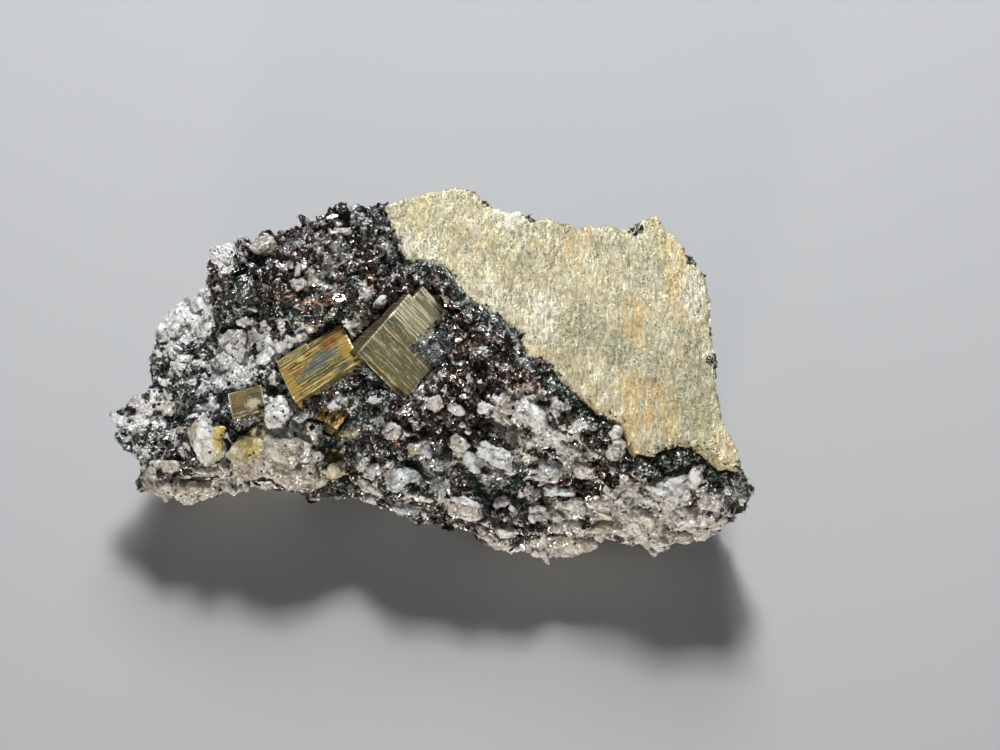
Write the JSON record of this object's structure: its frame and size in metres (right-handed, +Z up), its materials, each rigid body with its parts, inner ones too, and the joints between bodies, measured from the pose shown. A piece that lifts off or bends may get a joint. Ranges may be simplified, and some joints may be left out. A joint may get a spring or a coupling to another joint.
{
  "type": "cubic pyrite specimen",
  "caption": "Hand specimen of mica schist and quartz holding brassy striated pyrite cubes and one broad pale-gold pyrite plate.",
  "frame": {"origin": "under the middle of the specimen, on the surface that its flat broken back rests on", "axes": "+Z up through the showing face, +X along the specimen's length, with the broad plate at the +X end, +Y to the edge that is at the back in the picture"},
  "size_m": [0.0974, 0.0514, 0.0349],
  "materials": {
    "schist_and_quartz": "broken rock: black, green and bronze mica flakes with greasy grey quartz and white feldspar grains",
    "pale_gold_pyrite": "finely striated pale gold crystal face with orange and grey-green tarnish bands and dark specks",
    "olive_pyrite": "striated olive-brass cube face, bright on the ridges",
    "tarnished_pyrite": "polished brass-gold crystal with orange, green and blue-grey tarnish bands along the striations",
    "weathered_pyrite": "pitted brown-gold crystal with a limonite skin"
  },
  "bodies": {
    "root": {"schist_matrix": "schist_and_quartz", "pyrite_broad_plate": "pale_gold_pyrite", "pyrite_large_cube": "olive_pyrite", "pyrite_brick": "tarnished_pyrite", "pyrite_small_cube": "tarnished_pyrite", "pyrite_weathered_cube": "weathered_pyrite"}
  },
  "joints": []
}
